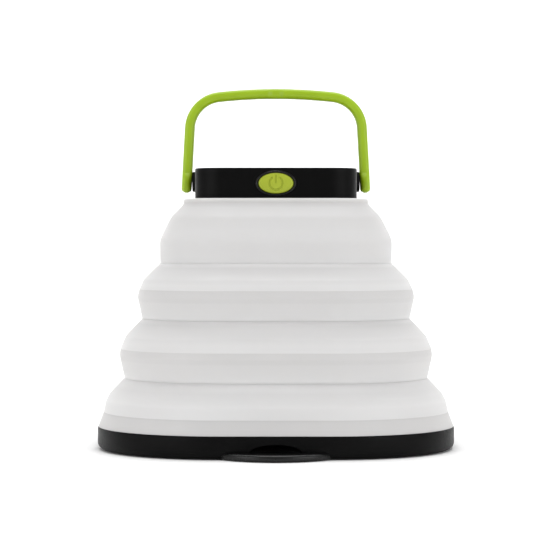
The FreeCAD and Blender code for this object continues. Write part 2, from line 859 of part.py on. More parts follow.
def make_power_button():
    """An oval cap in the well, and behind the wall the flange that keeps it in."""
    body = new_body("power_button")
    face = front_sketch(body, "CapOutline", "button_back")
    ellipse(face, "button_level", "button_width", "button_height")
    pad(body, "Cap", face, "button_back - button_front")
    stem = front_sketch(body, "StemOutline", "button_flange_back")
    tall = "button_flange_height / 2"
    low = f"button_flange_level - {tall}"
    high = f"button_flange_level + {tall}"
    half = "button_stem_width / 2"
    rectangle(stem, f"0 - {half}", half, low, high)
    pad(body, "Stem", stem, "button_flange_back - button_back + overlap")
    flange = front_sketch(body, "FlangeOutline", "button_flange_back")
    wide = "button_flange_width / 2"
    rectangle(flange, f"0 - {wide}", wide, low, high)
    pad(body, "Flange", flange, "button_flange_thickness")


def make_port_cover():
    """A rubber flap with a plug on its inner face, which turns on the round bead along its right side."""
    body = new_body("port_cover")
    face = front_sketch(body, "FlapOutline", "head_half - flap_sunk")
    tall = "flap_height / 2"
    left = "0 - flap_width / 2"
    rectangle(face, left, "flap_hinge", f"port_level - {tall}", f"port_level + {tall}")
    pad(body, "Flap", face, "flap_sunk + flap_proud", True)
    bead = level_sketch(body, "BeadOutline", f"port_level - {tall}")
    circle(bead, "flap_hinge", "head_half - ( flap_sunk - flap_proud ) / 2", "flap_bead")
    pad(body, "HingeBead", bead, "flap_height")
    plug = front_sketch(body, "PlugOutline", "head_half - flap_sunk")
    half = "plug_width / 2"
    tall = "plug_height / 2"
    rectangle(plug, f"0 - {half}", half, f"port_level - {tall}", f"port_level + {tall}")
    pad(body, "Plug", plug, "plug_depth")


def make_pivots():
    """A pin through each side wall, with a collar that spaces the handle off the housing."""
    for label, side in (("pivot_right", 1), ("pivot_left", -1)):
        body = new_body(label)
        inside = "head_half - head_wall - pivot_inside"
        pin_face = side_sketch(body, "PinOutline", f"{side} * ( {inside} )")
        circle(pin_face, "0", "pivot_level", "pivot_radius")
        pad(body, "Pin", pin_face, f"pivot_end - ( {inside} )", side < 0)
        boss = side_sketch(body, "BossOutline", f"{side} * head_half")
        circle(boss, "0", "pivot_level", "pivot_boss_radius")
        pad(body, "Boss", boss, "pivot_boss_end - head_half", side < 0)


def make_handle():
    """A bail: two legs that lean in a little, two round bends and a gently crowned bar."""
    body = new_body("handle")
    section = level_sketch(body, "LegSection", "pivot_level")
    half = "handle_thickness / 2"
    deep = "handle_depth / 2"
    rectangle(section, f"handle_leg - {half}", f"handle_leg + {half}", f"0 - {deep}", deep)
    path = front_sketch(body, "BailLine", "0")
    rise = "( handle_knee_level - pivot_level )"
    lean = "( handle_leg - handle_knee )"
    leg = f"sqrt ( {rise} ^ 2 + {lean} ^ 2 )"
    bend_across = f"handle_knee - handle_bend * {rise} / {leg}"
    bend_up = f"handle_knee_level - handle_bend * {lean} / {leg}"
    over = f"( handle_top - ( {bend_up} ) )"
    square = f"( {bend_across} ) ^ 2 + {over} ^ 2 - handle_bend ^ 2"
    crown = f"( ( {square} ) / ( 2 * ( {over} - handle_bend ) ) )"
    crown_centre = f"handle_top - {crown}"
    stretch = f"{crown} / ( {crown} - handle_bend )"
    join_across = f"( {bend_across} ) * {stretch}"
    join_up = f"{crown_centre} + ( {bend_up} - ( {crown_centre} ) ) * {stretch}"
    foot = at(path, "handle_leg", "pivot_level")
    knee = at(path, "handle_knee", "handle_knee_level")
    bend_middle = at(path, bend_across, bend_up)
    join = at(path, join_across, join_up)
    middle = at(path, "0", crown_centre)
    top = at(path, "0", "handle_top")
    outward = (knee - bend_middle).normalize() + (join - bend_middle).normalize()
    bend_side = bend_middle + outward.normalize() * SIZES["handle_bend"]
    upward = (join - middle).normalize() + FreeCAD.Vector(0, 1, 0)
    crown_side = middle + upward.normalize() * (top - middle).Length
    path.addGeometry(Part.LineSegment(foot, knee), False)
    path.addGeometry(Part.Arc(knee, bend_side, join), False)
    path.addGeometry(Part.Arc(join, crown_side, top), False)
    bend_end = near_end(path, 1, knee)
    crown_start = near_end(path, 2, join)
    path.addConstraint(Sketcher.Constraint("Coincident", 0, 2, 1, bend_end))
    path.addConstraint(Sketcher.Constraint("Coincident", 1, 3 - bend_end, 2, crown_start))
    pin(path, 0, 1, "handle_leg", "pivot_level")
    pin(path, 0, 2, "handle_knee", "handle_knee_level")
    pin(path, 1, 3, bend_across, bend_up)
    pin(path, 2, 3, "0", crown_centre)
    hold(path, "DistanceX", 2, crown_start, join_across)
    path.addConstraint(Sketcher.Constraint("PointOnObject", 2, 3 - crown_start, -2))
    pipe = body.newObject("PartDesign::AdditivePipe", "HalfBail")
    pipe.Profile = section
    pipe.Spine = (path, ["Edge1", "Edge2", "Edge3"])
    doc.recompute()
    eye = side_sketch(body, "EyeOutline", f"handle_leg - {half}")
    circle(eye, "0", "pivot_level", "handle_eye_radius")
    lug = pad(body, "Eye", eye, "handle_thickness")
    mirror_across(body, "Bail", [pipe, lug])
    bore_start = f"handle_leg - {half} - overlap"
    bore = side_sketch(body, "BoreOutline", bore_start)
    circle(bore, "0", "pivot_level", "pivot_radius + pivot_play")
    depth = f"handle_bore_end - ( {bore_start} )"
    mirror_across(body, "Bores", [pocket(body, "Bore", bore, depth, True)])


def near_end(sketch, element, point):
    """Says which end of an arc lies at a point: 1 for its start or 2 for its end."""
    return 1 if (sketch.getPoint(element, 1) - point).Length < 1e-4 else 2


def mirror_across(body, name, originals):
    made = body.newObject("PartDesign::Mirrored", name)
    made.Originals = originals
    made.MirrorPlane = (origin_feature(body, "YZ_Plane"), [""])
    body.Tip = made
    doc.recompute()


make_base_tray()
make_foot_pads()
make_reflector()
make_clamp_ring()
make_base_screws()
make_shade()
make_top_housing()
make_lower_cover()
make_head_screws()
make_panel()
make_electronics()
make_power_button()
make_port_cover()
make_pivots()
make_handle()
doc.recompute()

for thing in doc.Objects:
    bad = {"Invalid", "Error"} & set(thing.State)
    assert not bad, f"{thing.Label} failed: {thing.State}"
for made in subparts:
    assert not made.Shape.isNull() and made.Shape.isValid(), f"{made.Label} has no valid shape"

os.makedirs("parts", exist_ok=True)
for made in subparts:
    made.Shape.exportStep(f"parts/{made.Label}.step")
    print(made.Label, len(made.Shape.Solids), round(made.Shape.Volume, 1))
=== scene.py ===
"""The looks of the collapsible camping lantern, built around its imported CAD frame."""

import math

import bmesh
import bpy
import numpy as np
from mathutils import Matrix, Vector


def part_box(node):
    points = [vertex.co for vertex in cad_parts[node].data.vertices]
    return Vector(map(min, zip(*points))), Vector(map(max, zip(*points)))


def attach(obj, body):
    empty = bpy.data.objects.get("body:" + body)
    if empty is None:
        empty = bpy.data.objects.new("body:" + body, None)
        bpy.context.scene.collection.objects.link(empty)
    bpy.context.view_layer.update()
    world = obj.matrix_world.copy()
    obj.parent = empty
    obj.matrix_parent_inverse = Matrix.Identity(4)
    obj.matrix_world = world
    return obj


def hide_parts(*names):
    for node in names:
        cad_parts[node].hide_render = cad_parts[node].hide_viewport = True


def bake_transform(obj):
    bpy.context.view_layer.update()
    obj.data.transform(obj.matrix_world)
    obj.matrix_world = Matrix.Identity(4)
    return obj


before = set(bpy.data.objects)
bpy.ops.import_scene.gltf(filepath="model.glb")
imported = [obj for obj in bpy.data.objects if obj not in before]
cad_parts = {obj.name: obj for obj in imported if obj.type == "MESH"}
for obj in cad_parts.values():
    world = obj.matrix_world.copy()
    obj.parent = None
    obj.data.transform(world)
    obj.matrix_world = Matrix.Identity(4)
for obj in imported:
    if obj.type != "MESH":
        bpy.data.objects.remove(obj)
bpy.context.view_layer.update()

MM = 0.001
QUARTER = math.pi / 2
CREASE = math.radians(32)
SIDE_STEPS = 8
BEND_STEPS = 20


# ------------------------------------------------------------------ sizes from the frame


def low(node):
    """The lowest X, Y and Z of a node."""
    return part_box(node)[0]


def high(node):
    """The highest X, Y and Z of a node."""
    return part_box(node)[1]


def middle(node):
    """The centre of a node's box."""
    return 0.5 * (low(node) + high(node))


def shared_corner_centre():
    """How far out the straight sides of the rounded squares run, read off the clamp ring's flat side."""
    edge = high("clamp_ring").x
    points = [v.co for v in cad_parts["clamp_ring"].data.vertices]
    return max(p.y for p in points if p.x > edge - 1e-6)


CORNER = shared_corner_centre()
BUTTON_LEVEL = middle("power_button").z
PORT_LEVEL = middle("port_cover").z
PIVOT_LEVEL = middle("pivot_right").z


def outer_line(node):
    """The outer wall of a ring-shaped node, as (half-width, level) pairs from the top down."""
    widest = {}
    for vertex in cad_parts[node].data.vertices:
        if abs(vertex.co.y) < CORNER + 1e-6:
            level = round(vertex.co.z, 6)
            widest[level] = max(widest.get(level, 0.0), vertex.co.x)
    return [Vector((widest[level], level)) for level in sorted(widest, reverse=True)]


# ------------------------------------------------------------------ lines and meshes


def clamped(value):
    """The value, held between 0 and 1."""
    return min(1.0, max(0.0, value))


def full_turn(steps):
    """Evenly spaced angles, once round."""
    return [2 * math.pi * step / steps for step in range(steps)]


def rounded(points, radii, steps=6):
    """A line through points, with each inner corner rounded by its own radius (0 keeps it sharp)."""
    points = [Vector(point) for point in points]
    line = [points[0]]
    for before, corner, after, radius in zip(points, points[1:], points[2:], radii):
        back = before - corner
        ahead = after - corner
        half_angle = back.angle(ahead) / 2
        if radius == 0 or half_angle > QUARTER - 0.01:
            line.append(corner)
            continue
        reach = min(radius / math.tan(half_angle), 0.48 * back.length, 0.48 * ahead.length)
        bend = reach * math.tan(half_angle)
        bisector = (back.normalized() + ahead.normalized()).normalized()
        centre = corner + bisector * (bend / math.sin(half_angle))
        first = corner + back.normalized() * reach - centre
        last = corner + ahead.normalized() * reach - centre
        sweep = first.angle_signed(last)
        for step in range(steps + 1):
            turn = -sweep * step / steps
            cos, sin = math.cos(turn), math.sin(turn)
            line.append(centre + Vector((first.x * cos - first.y * sin, first.x * sin + first.y * cos)))
    line.append(points[-1])
    return line


def divided(line, longest):
    """The same line with more points, so that no step is longer than a given length."""
    out = [line[0]]
    for start, end in zip(line, line[1:]):
        parts = max(1, math.ceil((end - start).length / longest - 1e-6))
        out += [start.lerp(end, part / parts) for part in range(1, parts + 1)]
    return out


def square_ring(half, level, corner=None):
    """Points round a rounded square; corner is the radius of its corners, or None for the shared centres."""
    flat = CORNER if corner is None else half - corner
    bend = half - flat
    ring = []
    for quarter in range(4):
        turn = Matrix.Rotation(quarter * QUARTER, 3, "Z")
        for step in range(SIDE_STEPS):
            ring.append(turn @ Vector((half, flat * (2 * step / SIDE_STEPS - 1), level)))
        for step in range(BEND_STEPS):
            angle = QUARTER * step / BEND_STEPS
            spot = Vector((flat + bend * math.cos(angle), flat + bend * math.sin(angle), level))
            ring.append(turn @ spot)
    return ring


def new_object(name, vertices, faces):
    """A mesh object in the scene."""
    mesh = bpy.data.meshes.new(name)
    mesh.from_pydata([tuple(v) for v in vertices], [], faces)
    mesh.update()
    made = bpy.data.objects.new(name, mesh)
    bpy.context.scene.collection.objects.link(made)
    return made


def loft(name, rings, closed=False):
    """A skin through rings of equal counts. It joins its last ring to its first, or caps both ends."""
    count = len(rings[0])
    vertices = [point for ring in rings for point in ring]
    pairs = list(zip(range(len(rings) - 1), range(1, len(rings))))
    if closed:
        pairs.append((len(rings) - 1, 0))
    faces = []
    for a, b in pairs:
        for i in range(count):
            j = (i + 1) % count
            faces.append((a * count + i, a * count + j, b * count + j, b * count + i))
    if not closed:
        last = (len(rings) - 1) * count
        faces += [tuple(reversed(range(count))), tuple(range(last, last + count))]
    return finished(new_object(name, vertices, faces))


def finished(obj):
    """Merges doubled points, turns the faces outward, and shades the piece smooth except at creases."""
    mesh = obj.data
    work = bmesh.new()
    work.from_mesh(mesh)
    bmesh.ops.remove_doubles(work, verts=work.verts, dist=1e-7)
    bmesh.ops.recalc_face_normals(work, faces=work.faces)
    work.to_mesh(mesh)
    work.free()
    mesh.shade_smooth()
    mesh.set_sharp_from_angle(angle=CREASE)
    return obj


def combined(target, tool, operation):
    """Applies a boolean with another piece, which is then removed."""
    modifier = target.modifiers.new("cut", "BOOLEAN")
    modifier.object = tool
    modifier.operation = operation
    modifier.solver = "EXACT"
    graph = bpy.context.evaluated_depsgraph_get()
    mesh = bpy.data.meshes.new_from_object(target.evaluated_get(graph))
    target.modifiers.clear()
    target.data = mesh
    bpy.data.objects.remove(tool)


def joined(name, pieces):
    """One piece made of several."""
    vertices, faces = [], []
    for piece in pieces:
        start = len(vertices)
        vertices += [piece.matrix_world @ v.co for v in piece.data.vertices]
        faces += [tuple(start + i for i in face.vertices) for face in piece.data.polygons]
        bpy.data.objects.remove(piece)
    return finished(new_object(name, vertices, faces))


def relief_disc(name, reach_x, reach_y, thickness, edge, height, rings, around):
    """A round or oval puck with a rounded edge. It faces +Z, and its face follows height(x, y)."""
    loops = []
    for ring in range(1, rings + 1):
        share = ring / rings
        inset = (1 - share) * min(reach_x, reach_y)
        drop = edge - math.sqrt(max(0.0, edge**2 - max(0.0, edge - inset) ** 2))
        loop = []
        for angle in full_turn(around):
            x, y = reach_x * share * math.cos(angle), reach_y * share * math.sin(angle)
            loop.append(Vector((x, y, height(x, y) - drop)))
        loops.append(loop)
    back = [Vector((p.x, p.y, -thickness)) for p in loops[-1]]
    return loft(name, loops + [back])


def faced(obj, out, up, at):
    """Stands a piece that was made facing +Z at a place, facing out."""
    out, up = Vector(out).normalized(), Vector(up).normalized()
    right = up.cross(out)
    turn = Matrix((right, up, out)).transposed().to_4x4()
    obj.data.transform(Matrix.Translation(at) @ turn)
    return obj


def prism(name, outline, start, end):
    """A flat outline in X and Z, carried along Y from start to end."""
    return loft(name, [[Vector((x, y, z)) for x, z in outline] for y in (start, end)])


def plate(name, outline, bottom, top):
    """A flat outline in X and Y, carried up from bottom to top."""
    return loft(name, [[Vector((x, y, z)) for x, y in outline] for z in (bottom, top)])


def rod(name, x, y, radius, bottom, top, steps):
    """An upright cylinder."""
    outline = [(x + radius * math.cos(a), y + radius * math.sin(a)) for a in full_turn(steps)]
    return plate(name, outline, bottom, top)


def oval(width, height, level, centre=0.0, steps=96):
    """An ellipse in X and Z, as an outline."""
    return [
        (centre + width / 2 * math.cos(a), level + height / 2 * math.sin(a)) for a in full_turn(steps)
    ]


def soft_rectangle(width, height, level, radius, centre=0.0, steps=6):
    """A rectangle in X and Z with rounded corners, as an outline."""
    outline = []
    for quarter, (side_x, side_z) in enumerate(((1, 1), (-1, 1), (-1, -1), (1, -1))):
        x = centre + side_x * (width / 2 - radius)
        z = level + side_z * (height / 2 - radius)
        for step in range(steps + 1):
            angle = QUARTER * (quarter + step / steps)
            outline.append((x + radius * math.cos(angle), z + radius * math.sin(angle)))
    return outline


# ------------------------------------------------------------------ materials


class Shader:
    """A small helper for building one node material."""

    def __init__(self, name):
        self.material = bpy.data.materials.new(name)
        self.material.use_nodes = True
        self.tree = self.material.node_tree
        self.surface = self.tree.nodes["Principled BSDF"]
        self.place = self.add("ShaderNodeTexCoord").outputs["Object"]

    def add(self, kind, **values):
        """Makes a node, and sets its inputs or its own settings by name."""
        node = self.tree.nodes.new(kind)
        for key, value in values.items():
            if key in node.inputs:
                node.inputs[key].default_value = value
            else:
                setattr(node, key, value)
        return node

    def link(self, output, target):
        self.tree.links.new(output, target)

    def set(self, **values):
        """Sets plain values on the surface's own sockets."""
        for key, value in values.items():
            self.surface.inputs[key.replace("_", " ")].default_value = value

    def noise(self, scale, detail=2.0, roughness=0.5, place=None):
        """A noise pattern in the object's own space, or over another kind of place."""
        node = self.add("ShaderNodeTexNoise", Scale=scale, Detail=detail, Roughness=roughness)
        self.link(place or self.place, node.inputs["Vector"])
        return node.outputs["Fac"]

    def spread(self, source, start, end, low_in=0.0, high_in=1.0):
        """Maps a value from one range to another."""
        node = self.add("ShaderNodeMapRange")
        node.inputs["From Min"].default_value = low_in
        node.inputs["From Max"].default_value = high_in
        node.inputs["To Min"].default_value = start
        node.inputs["To Max"].default_value = end
        self.link(source, node.inputs["Value"])
        return node.outputs["Result"]

    def mix(self, factor, first, second):
        """Mixes two colours, each a colour or the output of a node."""
        node = self.add("ShaderNodeMix", data_type="RGBA")
        self.link(factor, node.inputs["Factor"])
        sockets = [s for s in node.inputs if s.type == "RGBA"]
        for socket, colour in zip(sockets, (first, second)):
            if hasattr(colour, "is_output"):
                self.link(colour, socket)
            else:
                socket.default_value = (*colour, 1.0)
        return next(s for s in node.outputs if s.type == "RGBA")

    def gloss(self, pattern, smooth, rough):
        """Lets the roughness follow a noise pattern."""
        self.link(self.spread(pattern, smooth, rough, 0.3, 0.7), self.surface.inputs["Roughness"])

    def bump(self, height, strength, distance):
        """Raises and lowers the surface's shading by a pattern."""
        node = self.add("ShaderNodeBump", Strength=strength, Distance=distance)
        self.link(height, node.inputs["Height"])
        self.link(node.outputs["Normal"], self.surface.inputs["Normal"])


def moulded(name, colour, lighter, roughness, grain, grain_depth, shine=0.5):
    """Moulded plastic or rubber: a fine grain, faint clouds of tone, and slightly uneven gloss."""
    made = Shader(name)
    clouds = made.spread(made.noise(90.0, 3.0), 0.0, 1.0, 0.3, 0.7)
    made.link(made.mix(clouds, colour, lighter), made.surface.inputs["Base Color"])
    fine = made.noise(grain, 3.0, 0.6)
    made.gloss(fine, roughness - 0.08, roughness + 0.08)
    made.bump(fine, 0.35, grain_depth)
    made.set(Specular_IOR_Level=shine)
    return made.material


# The ends of the silicone's tone scale. The tones between them paint shade and light as well as the
# silicone's own bands.
SILICONE_DARK = (0.50, 0.488, 0.48)
SILICONE_LIGHT = (0.80, 0.79, 0.778)
SILICONE_WARM = (0.70, 0.665, 0.655)


def silicone():
    """Frosted silicone. Its tone attribute says how light it is at each level, from 0 to 1, which holds
    painted shade and light.
    """
    made = Shader("frosted_silicone")
    tone = made.add("ShaderNodeAttribute", attribute_name="tone").outputs["Fac"]
    place = made.add("ShaderNodeAttribute", attribute_name="rest_place").outputs["Vector"]
    clouds = made.noise(35.0, 3.0, place=place)
    # Painted shade and painted light, mixed with the silicone's own bands by the tone attribute.
    bands_and_painted_shade = made.mix(tone, SILICONE_DARK, SILICONE_LIGHT)
    cloudy = made.mix(made.spread(clouds, 0.0, 0.16, 0.35, 0.65), bands_and_painted_shade, SILICONE_WARM)
    made.link(cloudy, made.surface.inputs["Base Color"])
    fine = made.noise(2600.0, 2.0, place=place)
    made.gloss(fine, 0.5, 0.62)
    made.bump(fine, 0.2, 0.03 * MM)
    made.set(Subsurface_Weight=0.45, Subsurface_Scale=6 * MM, Subsurface_Radius=(1.0, 0.95, 0.88))
    return made.material


def metal(name, colour, roughness):
    """Metal with fine darker specks and uneven gloss."""
    made = Shader(name)
    fine = made.noise(900.0, 4.0, 0.7)
    made.link(made.mix(fine, colour, tuple(c * 0.75 for c in colour)), made.surface.inputs["Base Color"])
    made.gloss(fine, roughness - 0.1, roughness + 0.1)
    made.bump(fine, 0.2, 0.02 * MM)
    made.set(Metallic=1.0)
    return made.material


def clear(name, colour, roughness, ior):
    """A clear plastic that bends light by its index of refraction."""
    made = Shader(name)
    made.gloss(made.noise(400.0, 2.0), roughness, roughness + 0.05)
    made.set(Base_Color=(*colour, 1.0), Transmission_Weight=1.0, IOR=ior)
    return made.material


def cell_face():
    """Dark silicon, with fine pale fingers across each cell."""
    half_gap, finger_core, finger_edge = 0.45 * MM, 0.02 * MM, 0.05 * MM
    made = Shader("silicon_cells")
    split = made.add("ShaderNodeSeparateXYZ")
    made.link(made.place, split.inputs["Vector"])
    wave = made.add("ShaderNodeMath", operation="PINGPONG")
    wave.inputs[1].default_value = half_gap
    made.link(split.outputs["Y"], wave.inputs[0])
    finger = made.spread(wave.outputs[0], 1.0, 0.0, finger_core, finger_edge)
    crystal = made.noise(160.0, 4.0)
    blue = made.mix(crystal, (0.006, 0.012, 0.045), (0.014, 0.028, 0.085))
    made.link(made.mix(finger, blue, (0.16, 0.18, 0.22)), made.surface.inputs["Base Color"])
    made.link(made.spread(crystal, 0.5, 0.6), made.surface.inputs["Roughness"])
    made.set(Specular_IOR_Level=0.05)
    made.bump(crystal, 0.1, 0.02 * MM)
    return made.material


BLACK_TONES = (0.0015, 0.0015, 0.0016), (0.0025, 0.0025, 0.0025)
RUBBER_TONES = (0.003, 0.003, 0.003), (0.005, 0.005, 0.005)
LIME_TONES = (0.30, 0.46, 0.006), (0.33, 0.50, 0.010)
BUTTON_TONES = (0.33, 0.40, 0.018), (0.37, 0.44, 0.028)
SHEET_TONES = (0.80, 0.80, 0.79), (0.86, 0.86, 0.85)
LENS_TONES = (0.80, 0.80, 0.78), (0.86, 0.86, 0.84)
GREEN_TONES = (0.01, 0.10, 0.04), (0.02, 0.15, 0.06)
WHITE_TONES = (0.76, 0.76, 0.74), (0.84, 0.84, 0.82)
FOAM_TONES = (0.03, 0.03, 0.03), (0.07, 0.07, 0.07)
WIRE_TONES = (0.30, 0.01, 0.01), (0.38, 0.03, 0.02)
CHIP_TONES = (0.75, 0.62, 0.12), (0.85, 0.72, 0.2)

# Each has its two tones, its roughness, how fine its grain is and how deep, and for some its shine.
BLACK = moulded("black_shell", *BLACK_TONES, 0.42, 1800.0, 0.03 * MM, shine=0.08)
POLISHED_BLACK = moulded("polished_black", *BLACK_TONES, 0.32, 1800.0, 0.02 * MM, shine=0.34)
RUBBER = moulded("black_rubber", *RUBBER_TONES, 0.6, 1400.0, 0.03 * MM, shine=0.15)
LIME = moulded("lime_plastic", *LIME_TONES, 0.38, 1500.0, 0.02 * MM, shine=0.4)
BUTTON_LIME = moulded("button_lime", *BUTTON_TONES, 0.42, 1500.0, 0.02 * MM, shine=0.4)
WHITE_SHEET = moulded("reflector_white", *SHEET_TONES, 0.3, 900.0, 0.02 * MM)
LENS = moulded("frosted_lens", *LENS_TONES, 0.5, 1500.0, 0.03 * MM)
SOLDER_MASK = moulded("board_green", *GREEN_TONES, 0.35, 700.0, 0.03 * MM)
WHITE_MASK = moulded("board_white", *WHITE_TONES, 0.4, 700.0, 0.03 * MM)
FOAM = moulded("foam", *FOAM_TONES, 0.9, 500.0, 0.2 * MM)
WIRE = moulded("wire", *WIRE_TONES, 0.45, 900.0, 0.02 * MM)
PHOSPHOR = moulded("chip_yellow", *CHIP_TONES, 0.5, 900.0, 0.02 * MM)
STEEL = metal("screw_steel", (0.50, 0.50, 0.52), 0.35)
FOIL = metal("cell_foil", (0.66, 0.66, 0.68), 0.4)
# The glazing's index is lower than a real plastic's, to keep its glare down.
GLAZING = clear("clear_layer", (0.93, 0.95, 0.97), 0.08, 1.12)
ACRYLIC = clear("clear_pipe", (0.95, 0.95, 0.95), 0.1, 1.49)
CELLS = cell_face()
SILICONE = silicone()


def dress(obj, material):
    """Gives a piece one material."""
    obj.data.materials.clear()
    obj.data.materials.append(material)


def stand_in(obj, material, body, slot, *nodes):
    """Gives a new piece its material and its body, and hides the CAD nodes that it stands for. Its slot is
    not used.
    """
    dress(obj, material)
    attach(obj, body)
    if nodes:
        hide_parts(*nodes)


# ------------------------------------------------------------------ shade

WALL = 1.2 * MM
STEP = 0.08 * MM
SHOULDER_BEND = 3.2 * MM
FLANGE_BORE = 50.65 * MM


def soft_piece(name, outer, inner, stations, nodes):
    """One tier of the shade, as one closed skin.

    The stations are (level, tone) pairs from the top down, and each point takes its tone from its level.
    """
    line = divided(outer, 0.7 * MM) + divided(inner, 1.5 * MM)
    made = loft(name, [square_ring(p.x, p.y) for p in line], closed=True)
    mesh = made.data
    levels, shades = zip(*reversed(stations))
    tones = mesh.attributes.new("tone", "FLOAT", "POINT")
    tones.data.foreach_set("value", np.interp([v.co.z for v in mesh.vertices], levels, shades))
    places = mesh.attributes.new("rest_place", "FLOAT_VECTOR", "POINT")
    places.data.foreach_set("vector", [c for v in mesh.vertices for c in v.co])
    dress(made, SILICONE)
    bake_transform(made)
    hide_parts(*nodes)


def inward(line):
    """The inner face of a wall, from the foot of its outer face back up."""
    return [Vector((p.x - WALL, p.y)) for p in reversed(line)]


def fold_painted_light(valley):
    """Painted light: pale tones, which soften the dark shaded line where two tiers meet."""
    return [(valley + 0.9 * MM, 0.86), (valley + 0.1 * MM, 1.00), (valley - 0.3 * MM, 0.85)]


def tier_bands_and_painted_shade(valley, shoulder, crease, foot):
    """Tones down one tier, tuned to look like the real shade's bands of grey and white under these lights:
    partly the silicone's own bands, partly painted shade on the slope and below the crease, and painted
    light at the folds.
    """
    upper_band = crease + 0.40 * (foot - crease)
    lower_band = crease + 0.72 * (foot - crease)
    return fold_painted_light(valley) + [
        # Painted shade on the slope that runs out from the fold.
        (valley + 0.25 * (shoulder - valley), 0.37),
        (shoulder, 0.56),
        (0.5 * (shoulder + crease), 0.77),
        (crease, 0.74),
        # A sharp painted shade below the crease, growing lighter down to the painted light at the foot.
        (crease - STEP, 0.39),
        (upper_band, 0.45),
        (upper_band - STEP, 0.55),
        (lower_band, 0.64),
        (foot + 1.2 * MM, 0.76),
        (foot + 0.3 * MM, 1.00),
    ]


def make_middle_tier(number):
    """Tier 2 or 3: the web that slopes out from the fold above, and the band under it."""
    nodes = (f"shade_fold_{number}", f"shade_tier_{number}")
    valley = outer_line(nodes[0])[0]
    shoulder, crease, belly, foot = outer_line(nodes[1])
    outer = rounded([valley, shoulder, crease], [SHOULDER_BEND])
    outer += rounded([(crease.x, crease.y - STEP), belly, foot], [2.6 * MM])
    # The tier's tones: the silicone's bands, with painted shade and painted light.
    tones = tier_bands_and_painted_shade(valley.y, shoulder.y, crease.y, foot.y)
    name = f"shade_tier_{number}_skin"
    soft_piece(name, outer, inward(outer), tones, nodes)


def make_top_tier():
    """The collar under the head, the dome, and the top band."""
    nodes = ("shade_collar", "shade_fold_1", "shade_tier_1")
    flange, top = low("shade_collar").z, high("shade_collar").z
    edge = outer_line("shade_collar")[0].x
    bore = 20.5 * MM
    dome = outer_line("shade_fold_1")
    band = outer_line("shade_tier_1")
    start, foot = band[0].y, band[-1].y
    collar = [(bore, top), (edge, top), (edge, flange + 0.6 * MM), (edge + 0.7 * MM, flange - 0.4 * MM)]
    outer = rounded(collar, [1.1 * MM, 0.4 * MM])
    outer += rounded([outer[-1], *dome[1:], band[-1]], [6 * MM, 8 * MM, 9 * MM])[1:]
    inner = inward([p for p in outer if p.y < flange])
    inner += [Vector((edge - WALL, flange + 0.2 * MM))]
    inner += [Vector((x, top - WALL)) for x in (edge - WALL, bore)]
    # Tones tuned to the real shade's look under these lights: darker towards the head, and pale at the foot,
    # which is painted light that softens the dark line of the fold.
    tones = [
        (top, 0.44),
        (flange + 0.5 * MM, 0.29),
        (flange - 1.0 * MM, 0.37),
        (dome[1].y, 0.46),
        (dome[2].y, 0.61),
        (start, 0.63),
        (0.5 * (start + foot), 0.67),
        (foot + 1.2 * MM, 0.74),
        (foot, 1.00),
    ]
    soft_piece("shade_top_skin", outer, inner, tones, nodes)


def make_bottom_tier():
    """The lowest tier, with the grey translucent skirt that stands on the rim, and the clamped flange."""
    nodes = ("shade_fold_4", "shade_tier_4")
    valley = outer_line(nodes[0])[0]
    shoulder, crease, skirt = outer_line(nodes[1])[:3]
    rim = high("base_tray").z
    foot = Vector((high("shade_tier_4").x, rim + 0.02 * MM))
    outer = rounded([valley, shoulder, crease, skirt], [SHOULDER_BEND, 4.0 * MM])
    outer += [Vector((skirt.x, skirt.y - STEP)), foot]
    flange_under, flange_top = rim - 1.15 * MM, rim + 0.35 * MM
    flange = [
        (foot.x - 1.7 * MM, foot.y),
        (foot.x - 2.05 * MM, flange_under),
        (FLANGE_BORE, flange_under),
        (FLANGE_BORE, flange_top),
        (54.0 * MM, flange_top),
        (54.7 * MM, rim + 1.2 * MM),
    ]
    inner = [Vector(p) for p in flange] + inward([p for p in outer if p.y > skirt.y])
    # Painted light at the fold and painted shade on the slope under it. Below the skirt's edge, grey tones
    # stand in for the dark clamp ring seen through the thin silicone.
    tones = fold_painted_light(valley.y) + [
        (valley.y + 0.6 * (shoulder.y - valley.y), 0.49),
        (shoulder.y, 0.59),
        (crease.y, 0.78),
        (skirt.y, 0.84),
        (skirt.y - STEP, 0.30),
        (rim + 2.0 * MM, 0.33),
        (rim, 0.32),
    ]
    soft_piece("shade_skirt_skin", outer, inner, tones, nodes)


# ------------------------------------------------------------------ base


RIM_HALF = high("base_tray").x
UNDERSIDE = low("base_tray").z
TAB_TOP = 2.2 * MM
SCREW_HEAD = 1.6 * MM


def make_base():
    """The tray with its rounded rim, the finger scoop over the tab, and the sinks in its underside."""
    rim, under, top = RIM_HALF, UNDERSIDE, high("base_tray").z
    ledge = high("clamp_ring").z - 3.4 * MM
    inner = high("clamp_ring").x + 0.8 * MM
    step = 50.6 * MM
    floor = low("reflector_plate").z
    points = [
        (rim - 6 * MM, under),
        (rim, under),
        (rim, top),
        (inner, top),
        (inner, ledge),
        (step, ledge),
        (step, floor),
        (step - 4 * MM, floor),
    ]
    radii = [2.0, 0.55, 0.3, 0.2, 0.3, 0.3]
    wall = rounded(points, [r * MM for r in radii])
    rings = [square_ring(9 * MM, under, 4 * MM)]
    rings += [square_ring(p.x, p.y) for p in divided(wall, 3 * MM)]
    rings += [square_ring(9 * MM, floor, 4 * MM)]
    tray = loft("base_shell", rings)
    combined(tray, scoop_tool(), "DIFFERENCE")
    sinks = [(x, y, radius + 0.05 * MM, 0.8 * MM) for x, y, radius in foot_places()]
    sinks += [(x, y, 1.75 * MM, 1.1 * MM) for x, y in screw_places()]
    for x, y, radius, depth in sinks:
        combined(tray, rod("sink", x, y, radius, under - 1 * MM, under + depth, 40), "DIFFERENCE")
    stand_in(finished(tray), BLACK, "base", "black_shell", "base_tray")


